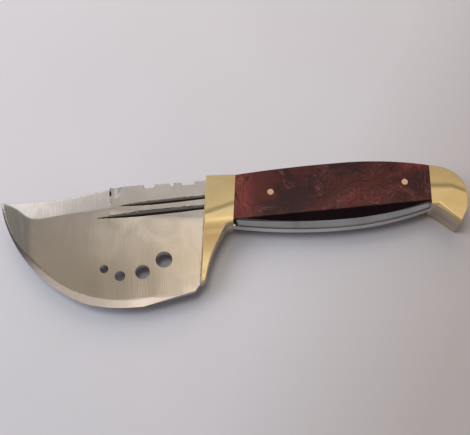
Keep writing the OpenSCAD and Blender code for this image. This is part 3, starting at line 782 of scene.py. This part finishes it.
def metal(name, colour, dull, rough, bump, marks, with_marks_and_shade=False, walls=1.0):
    """A polished metal: its colour and the duller one of its smears, its roughness out of them and in
    them, the height of its polishing marks, and their lines, waves and turn. One that takes marks is
    darker and rougher where its mesh says so, for dark marks and painted shade. walls is how much
    colour is left on the upright faces, a painted shade that darkens them."""
    material, n, shader = principled(name, Metallic=1.0)
    mark = n.add("Group", marks, node_tree=polishing_marks()).outputs
    tone = n.mix(mark["Smears"], colour, dull)
    roughness = n.spread(mark["Smears"], 0.0, 1.0, *rough)
    if walls < 1.0:
        facing = n.axes(n.add("NewGeometry").outputs["Normal"])[2]
        # Painted shade: the upright faces are darkened.
        painted_wall_shade = n.spread(n.math("ABSOLUTE", facing), 0.15, 0.45, walls, 1.0)
        tone = n.mix(painted_wall_shade, (0.0, 0.0, 0.0), tone)
    if with_marks_and_shade:
        # Dark marks and painted shade, read from the mesh's attribute.
        marks_and_shade = n.add("Attribute", attribute_name="dark_marks_and_shade").outputs["Fac"]
        tone = n.mix(marks_and_shade, tone, (0.028, 0.024, 0.024))
        roughness = n.plus(roughness, n.times(marks_and_shade, 0.3))
    n.feed(shader.inputs["Base Color"], tone)
    n.feed(shader.inputs["Roughness"], roughness)
    n.bump(shader, mark["Height"], bump, 0.0002)
    return material


def marbled_resin(settings):
    """Cast resin under a gloss: slowly folded clouds of brown red and near black, dark swirls and a
    few pale strands in them, redder next to the brass, with painted shade that darkens the lower facet
    nearly to black, and nearly black at the joints."""
    material, n, shader = principled("marbled_resin", Roughness=0.1, IOR=1.4)
    here = n.here()
    x, y, _ = n.axes(here)

    def folded(vector, scale, far):
        """Pushes every point by a noise of its own, up to far."""
        fold = n.noise(vector, scale, 2.0)["Color"]
        middle = n.vector("SUBTRACT", (fold, (0.5, 0.5, 0.5)))[0]
        return n.vector("ADD", (vector, n.vector("SCALE", {0: middle, "Scale": far})[0]))[0]

    def line(value, at, width):
        return n.spread(n.math("ABSOLUTE", n.minus(value, at)), 0.0, width, 1.0, 0.0)

    broad = folded(here, 34.0, 0.045)
    swirled = folded(broad, 120.0, 0.010)
    cloud = n.noise(broad, 50.0, 4.0, 0.55)[0]
    streak = n.noise(n.stretch(swirled, (0.6, 1.5, 1.0)), 210.0, 3.0, 0.6, 1.0)[0]
    swirl = n.noise(swirled, 85.0, 1.0)[0]
    front = n.spread(n.plus(x, n.times(cloud, 0.012)), 0.013, 0.019, 0.24, 0.0)
    rear = n.times(n.spread(x, 0.076, 0.086, 0.0, 0.30), n.rise(y, 0.0225, 0.0265))
    tone = n.plus(n.plus(n.times(cloud, 0.86), n.times(streak, 0.20)), n.plus(front, rear))
    colour = n.ramp(tone, [(0.42, (0.026, 0.005, 0.006)), (0.48, (0.042, 0.007, 0.008)),
                           (0.54, (0.062, 0.011, 0.009)), (0.66, (0.090, 0.015, 0.013)),
                           (0.82, settings.resin_red), (0.96, (0.24, 0.050, 0.044))])
    dark = n.times(n.math("MAXIMUM", line(swirl, 0.46, 0.020), line(swirl, 0.56, 0.016)), 0.85)
    colour = n.mix(dark, colour, (0.016, 0.004, 0.005))
    pale = n.times(line(streak, 0.5, 0.028), n.spread(swirl, 0.46, 0.56, 0.0, 0.8))
    colour = n.mix(pale, colour, (0.17, 0.062, 0.058))
    # Painted shade: the lower facet is darkened nearly to black.
    facet = n.spread(n.minus(y, n.times(x, FACET_RISE)), 0.0058, 0.0066, 0.92, 0.0)
    colour = n.mix(facet, colour, (0.004, 0.002, 0.003))
    from_front = n.minus(n.minus(x, n.times(y, LEAN)), (BOLSTER_W - BOX_X + LEAN * BOX_Y) * 0.001)
    rear_x = n.plus(n.times(y, POMMEL_LEAN), (POMMEL_X - BOX_X + POMMEL_LEAN * BOX_Y) * 0.001)
    joint = n.spread(n.math("MINIMUM", from_front, n.minus(rear_x, x)), 0.0002, 0.0006, 0.8, 0.0)
    n.feed(shader.inputs["Base Color"], n.mix(joint, colour, (0.030, 0.012, 0.005)))
    n.bump(shader, n.noise(here, 300.0, 2.0)[0], 0.05, 0.0003)
    return material


BACKDROP = (0.60, 0.575, 0.60, 1.0)


def glossy_table(settings):
    """The table: a pale lacquered top, a little cloudy, with painted shade that darkens and warms it
    towards the right and the near side, that keeps a soft reflection. Far from the knife, where the
    lamps fade, the camera and the metal see it as pale as near by."""
    material, n, shader = principled("glossy_table", Roughness=0.42, Coat_Weight=0.25,
                                     Coat_Roughness=0.16)
    here = n.here()
    x, y, _ = n.axes(here)
    pale = settings.table_colour
    cloud = n.noise(here, 14.0, 4.0)[0]
    top = n.mix(n.rise(cloud, 0.35, 0.65), pale * 0.97, pale)
    # Painted shade: darker and warmer towards the right and the near side.
    painted_shade_gradient = n.rise(n.plus(n.minus(x, n.times(y, 0.6)), n.times(cloud, 0.02)), 0.04, 0.148)
    n.feed(shader.inputs["Base Color"], n.mix(painted_shade_gradient, top, (0.49, 0.445, 0.44)))
    n.bump(shader, n.noise(here, 900.0, 2.0)[0], 0.03, 0.0002)
    seen, _ = n.rays()
    far = n.times(n.rise(n.vector("LENGTH", (here,))["Value"], 0.20, 0.52), seen)
    pale_far = n.add("Emission", {"Color": BACKDROP}).outputs[0]
    both = n.add("MixShader", (far, shader.outputs[0], pale_far)).outputs[0]
    out = next(x for x in material.node_tree.nodes if x.type == "OUTPUT_MATERIAL")
    n.feed(out.inputs["Surface"], both)
    return material


# The ceiling from the near side to the far one: cream, with a thin dark line at its far border
CEILING = [(0.0, (0.98, 0.88, 0.78)), (0.17, (0.96, 0.86, 0.76)), (0.30, (0.60, 0.50, 0.40)),
           (0.44, (0.72, 0.64, 0.52)), (0.60, (1.16, 1.08, 0.94)), (0.655, (1.06, 0.99, 0.86)),
           (0.69, (1.10, 0.95, 0.74)), (0.725, (1.02, 0.86, 0.63)), (0.775, (0.88, 0.82, 0.70)),
           (0.8217, (0.87, 0.83, 0.75)), (0.8222, (0.06, 0.05, 0.04)), (0.8240, (0.06, 0.05, 0.04)),
           (0.8245, (0.70, 0.67, 0.60)), (0.829, (0.70, 0.67, 0.59)), (0.849, (0.585, 0.56, 0.505)),
           (0.86, (0.61, 0.59, 0.55)), (1.0, (0.66, 0.65, 0.62))]
# How far that border lies, from left to right, and how far right the wall on the left reaches, from
# the near side to the far one; 0.5 stands for no shift
CEILING_BEND = [(0.0, 0.460), (0.283, 0.494), (0.318, 0.482), (0.355, 0.488), (0.38, 0.492),
                (0.60, 0.497), (0.78, 0.496), (0.818, 0.494), (0.843, 0.486), (0.85, 0.482), (1.0, 0.44)]
WALL_BEND = [(0.0, 0.17), (0.50, 0.45), (0.66, 0.47), (0.79, 0.34), (1.0, 0.30)]


def room_light(world, settings):
    """The room that the metal mirrors, as seen from the table. Across and along are the tangents of
    the angle from the zenith, to the right and towards the far side. Overhead is the ceiling, and to
    the left a darker wall with a beam, a pale window, a dark corner and a curtain. Low down is a
    blue-grey room, with the photographer on the near side. A dull surface gets an even dim light
    instead, and the camera sees the plain backdrop."""
    world.use_nodes = True
    tree = world.node_tree
    tree.nodes.clear()
    n = Nodes(tree)
    rise, times, minus = n.rise, n.times, n.minus
    right, far, up = n.axes(n.add("TexCoord").outputs["Generated"])
    height = n.math("MAXIMUM", up, 0.05)
    across = n.math("DIVIDE", right, height)
    along = n.math("DIVIDE", far, height)

    def shift(value, low, high, stops):
        """A shift that follows a value, from stops that lie about 0.5."""
        return minus(n.ramp(rise(value, low, high), [(at, (c, c, c)) for at, c in stops]), 0.5)

    def within(value, low, high, edge_low, edge_high):
        """1 between low and high, with soft edges outwards."""
        return times(rise(value, low - edge_low, low), rise(value, high + edge_high, high))

    beyond = minus(along, shift(across, -0.2, 0.4, CEILING_BEND))
    ceiling = n.ramp(rise(beyond, -0.6, 0.6), CEILING)
    ceiling = n.mix(rise(across, 0.14, 0.24), ceiling, (0.87, 0.82, 0.72), "MULTIPLY")
    wall = n.mix(rise(along, 0.15, 0.45), (0.39, 0.335, 0.255), (0.33, 0.31, 0.27))
    wall = n.mix(rise(along, -0.05, -0.20), wall, (0.66, 0.59, 0.53))
    lit = n.mix(rise(minus(across, shift(along, -0.6, 0.6, WALL_BEND)), -0.07, 0.05), wall, ceiling)
    beam = times(within(across, -0.13, -0.020, 0.04, 0.010), within(along, 0.352, 0.387, 0.014, 0.010))
    lit = n.mix(beam, lit, (0.27, 0.255, 0.23))
    # Where the lower flank looks: a dim band, and a shine beyond its slanted end
    slanted = minus(along, n.plus(times(across, 0.8), 0.281))
    band = times(within(along, 0.236, 0.258, 0.016, 0.022), rise(across, -0.20, -0.14),
                 rise(slanted, -0.012, -0.002))
    lit = n.mix(band, lit, (0.66, 0.66, 0.67), "MULTIPLY")
    shine = times(within(across, -0.085, -0.030, 0.015, 0.020), rise(along, 0.262, 0.250),
                  rise(slanted, -0.002, -0.014))
    lit = n.mix(shine, lit, (1.35, 1.35, 1.35), "MULTIPLY")
    window_edge = minus(along, n.plus(times(across, 0.82), 0.721))
    window = times(rise(window_edge, -0.012, 0.012), rise(across, -0.14, -0.22))
    lit = n.mix(window, lit, (1.14, 1.13, 1.12))
    corner = times(rise(across, -0.345, -0.375), rise(window_edge, 0.085, 0.055), rise(along, 0.0, 0.15))
    lit = n.mix(corner, lit, (0.19, 0.185, 0.175))
    low_room = n.mix(rise(far, -0.5, 0.6), (0.44, 0.45, 0.50), (0.44, 0.46, 0.50))
    lit = n.mix(rise(up, 0.50, 0.86), low_room, lit)
    curtain = times(rise(across, -0.62, -0.72), within(along, 0.0, 0.36, 0.12, 0.06), rise(up, 0.3, 0.45))
    lit = n.mix(curtain, lit, (0.12, 0.115, 0.11))
    person = times(within(along, -1.45, -0.70, 0.25, 0.20), rise(n.math("ABSOLUTE", across), 1.2, 0.9),
                   0.9)
    lit = n.mix(person, lit, (0.03, 0.03, 0.035))
    seen, by_camera = n.rays()
    lit = n.mix(seen, (0.20, 0.20, 0.21), lit)
    lit = n.mix(by_camera, lit, BACKDROP)
    back = n.add("Background", {"Color": lit, "Strength": settings.room_strength}).outputs[0]
    n.feed(n.add("OutputWorld").inputs[0], back)


# ---------------- settings

Colour = partial(bpy.props.FloatVectorProperty, subtype="COLOR", size=3)
Length = partial(bpy.props.FloatProperty, unit="LENGTH")
Angle = partial(bpy.props.FloatProperty, unit="ROTATION")


class KnifeSizes(bpy.types.PropertyGroup):
    """How finely the pieces are drawn."""
    blade_step: Length(name="Blade lattice", description="Distance between points on the blade",
                       default=0.00065, min=0.0003, max=0.002)
    plate_step: Length(name="Plate lattice", description="Distance between points on brass and resin",
                       default=0.0008, min=0.0004, max=0.003)


class KnifeFinishes(bpy.types.PropertyGroup):
    """Colours of the knife's materials."""
    steel: Colour(name="Blade steel", description="Colour of the polished blade",
                  default=(0.72, 0.668, 0.635))
    brass: Colour(name="Brass", description="Colour of the guard and pommel", default=(0.81, 0.63, 0.36))
    liner: Colour(name="Liner steel", description="Colour of the satin liners",
                  default=(0.56, 0.55, 0.54))
    copper: Colour(name="Copper", description="Colour of the pins", default=(0.86, 0.56, 0.42))
    resin_red: Colour(name="Resin red", description="The lighter red in the scales",
                      default=(0.16, 0.028, 0.022))


class KnifeStudio(bpy.types.PropertyGroup):
    """Table, light and camera."""
    table_colour: Colour(name="Table", description="Colour of the table top",
                         default=(0.64, 0.615, 0.645))
    room_strength: bpy.props.FloatProperty(name="Room", description="Brightness of the room", default=1.0)
    lamp_watts: bpy.props.FloatProperty(name="Lamps", description="Power of the ceiling lamp",
                                        default=1.5)
    camera_distance: Length(name="Camera distance", description="Distance to the knife", default=0.44)
    camera_elevation: Angle(name="Camera elevation", description="Angle above the table",
                            default=math.radians(70))
    camera_turn: Angle(name="Knife turn", description="How far the knife lies turned in view",
                       default=math.radians(4.6))


# ---------------- operators

def make_pairs(context, slot, material, **makers):
    """The left and the right plate of each maker, given by node, with their finish."""
    step = context.scene.knife_sizes.plate_step * 1000
    for side in ("left", "right"):
        for node, make in makers.items():
            finish_piece(make(step, side), [node + "_" + side], material)


class KNIFE_OT_blade(bpy.types.Operator):
    """Make the ground and polished blade with its full tang"""
    bl_idname = "knife.blade"
    bl_label = "Blade"

    def execute(self, context):
        steel = context.scene.knife_finishes.steel
        polished = metal("polished_steel", steel, steel * 0.9, (0.09, 0.15), 0.25, (0.25, 1.0, 0.0),
                         with_marks_and_shade=True)
        obj = make_blade(context.scene.knife_sizes.blade_step * 1000)
        finish_piece(obj, ["blade"], polished, 14.0)
        return {"FINISHED"}


class KNIFE_OT_brass(bpy.types.Operator):
    """Make the two halves of the guard and of the beaked pommel"""
    bl_idname = "knife.brass"
    bl_label = "Guard and pommel"

    def execute(self, context):
        # walls=0.78 darkens the brass's upright faces as painted shade.
        brass = metal("polished_brass", context.scene.knife_finishes.brass, (0.74, 0.56, 0.30),
                      (0.012, 0.035), 0.08, (0.015, 0.6, 1.2), walls=0.78)
        make_pairs(context, "brass", brass, front_bolster=make_bolster, pommel=make_pommel)
        dress(brass, "bolster_dowel_upper", "bolster_dowel_lower", "guard_dowel",
              "pommel_dowel_upper", "pommel_dowel_lower")
        return {"FINISHED"}


class KNIFE_OT_scales(bpy.types.Operator):
    """Make the two marbled resin scales"""
    bl_idname = "knife.scales"
    bl_label = "Scales"

    def execute(self, context):
        resin = marbled_resin(context.scene.knife_finishes)
        make_pairs(context, "marbled_resin", resin, scale=make_scale)
        return {"FINISHED"}


class KNIFE_OT_liners_and_pins(bpy.types.Operator):
    """Make the steel liners and give the copper pins their finish"""
    bl_idname = "knife.liners_and_pins"
    bl_label = "Liners and pins"

    def execute(self, context):
        finish = context.scene.knife_finishes
        satin = metal("satin_liner", finish.liner, finish.liner * 0.8, (0.32, 0.45), 0.5,
                      (1.0, 0.3, 1.57), with_marks_and_shade=True)
        copper = metal("copper_pin", finish.copper, (0.70, 0.40, 0.26), (0.22, 0.35), 0.3,
                       (0.4, 0.3, 0.4))
        make_pairs(context, "liner_steel", satin, liner=make_liner)
        dress(copper, "scale_pin_front", "scale_pin_rear")
        return {"FINISHED"}


def dress(material, *nodes):
    """Gives nodes of the frame a material, and leaves their shapes alone."""
    for node in nodes:
        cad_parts[node].data.materials[0] = material


TABLE_HALF = 1.6
TABLE_CELLS = 8
TABLE_Z = -0.00005
AIM = (13.97, -7.7)  # the point of the knife in the middle of the photo
FILM_WIDTH = 36.0
FOCAL_PIXELS = 902.0
PHOTO_WIDTH = 470.0


class KNIFE_OT_stage(bpy.types.Operator):
    """Set the table, the room's light and the camera"""
    bl_idname = "knife.stage"
    bl_label = "Table, light and camera"

    def execute(self, context):
        studio = context.scene.knife_studio
        n = TABLE_CELLS + 1
        u = np.linspace(-TABLE_HALF, TABLE_HALF, n)
        gx, gy = np.meshgrid(u, u)
        mesh = bpy.data.meshes.new("table_top")
        verts = np.column_stack([gx.ravel(), gy.ravel(), np.full(n * n, TABLE_Z)])
        i = (np.arange(n - 1)[:, None] * n + np.arange(n - 1)).ravel()
        mesh.from_pydata(verts.tolist(), [], np.column_stack([i, i + 1, i + n + 1, i + n]).tolist())
        mesh.materials.append(glossy_table(studio))
        table = put("table_top", mesh)
        world = context.scene.world or bpy.data.worlds.new("room")
        context.scene.world = world
        room_light(world, studio)
        lamp("ceiling_lamp", (-0.12, 0.05, 0.88), 0.20, studio.lamp_watts, (1.0, 1.0, 0.99))
        lamp("window_lamp", (-0.60, 0.10, 0.60), 0.50, studio.lamp_watts * 2.2, (0.90, 1.0, 1.13))
        lamp("far_lamp", (0.04, 0.56, 0.56), 0.70, studio.lamp_watts * 1.6, (1.18, 1.0, 0.80))
        turn, rise = studio.camera_turn, studio.camera_elevation
        target = Vector((AIM[0] - BOX_X, AIM[1] - BOX_Y, SIDE)) / 1000
        data = bpy.data.cameras.new("photo_camera")
        data.sensor_fit = "HORIZONTAL"
        data.sensor_width = FILM_WIDTH
        data.lens = FILM_WIDTH * FOCAL_PIXELS / PHOTO_WIDTH
        data.clip_start = 0.01
        camera = put("photo_camera", data)
        turned = Matrix.Rotation(-turn, 4, "Z") @ Matrix.Rotation(math.pi / 2 - rise, 4, "X")
        back = Matrix.Translation((0.0, 0.0, studio.camera_distance))
        camera.matrix_world = Matrix.Translation(target) @ turned @ back
        context.scene.camera = camera
        context.scene.view_settings.view_transform = "Standard"
        return {"FINISHED"}


def lamp(name, place, size, watts, colour):
    """A square soft lamp that looks at the knife."""
    data = bpy.data.lights.new(name, "AREA")
    data.size = size
    data.energy = watts
    data.color = colour
    obj = put(name, data)
    obj.location = place
    obj.rotation_euler = (-Vector(place)).to_track_quat("-Z", "Y").to_euler()
    obj.visible_glossy = False


class KNIFE_PT_panel(bpy.types.Panel):
    """Lists the knife's makers and their settings"""
    bl_idname = "KNIFE_PT_panel"
    bl_label = "Skinning knife"
    bl_space_type = "VIEW_3D"
    bl_region_type = "UI"
    bl_category = "Knife"

    def draw(self, context):
        for maker in MAKERS:
            self.layout.operator(maker.bl_idname)
        for key in SETTINGS:
            box = self.layout.box()
            settings = getattr(context.scene, key)
            for name in settings.__annotations__:
                box.prop(settings, name)


MAKERS = (KNIFE_OT_blade, KNIFE_OT_brass, KNIFE_OT_scales, KNIFE_OT_liners_and_pins, KNIFE_OT_stage)
SETTINGS = {"knife_sizes": KnifeSizes, "knife_finishes": KnifeFinishes, "knife_studio": KnifeStudio}
CLASSES = (*SETTINGS.values(), *MAKERS, KNIFE_PT_panel)


def register():
    for cls in CLASSES:
        bpy.utils.register_class(cls)
    for key, cls in SETTINGS.items():
        setattr(bpy.types.Scene, key, bpy.props.PointerProperty(type=cls))


def unregister():
    for key in SETTINGS:
        delattr(bpy.types.Scene, key)
    for cls in reversed(CLASSES):
        bpy.utils.unregister_class(cls)


def main():
    """Registers the add-on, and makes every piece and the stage."""
    register()
    bpy.ops.knife.blade()
    bpy.ops.knife.brass()
    bpy.ops.knife.scales()
    bpy.ops.knife.liners_and_pins()
    bpy.ops.knife.stage()


if __name__ == "__main__":
    main()
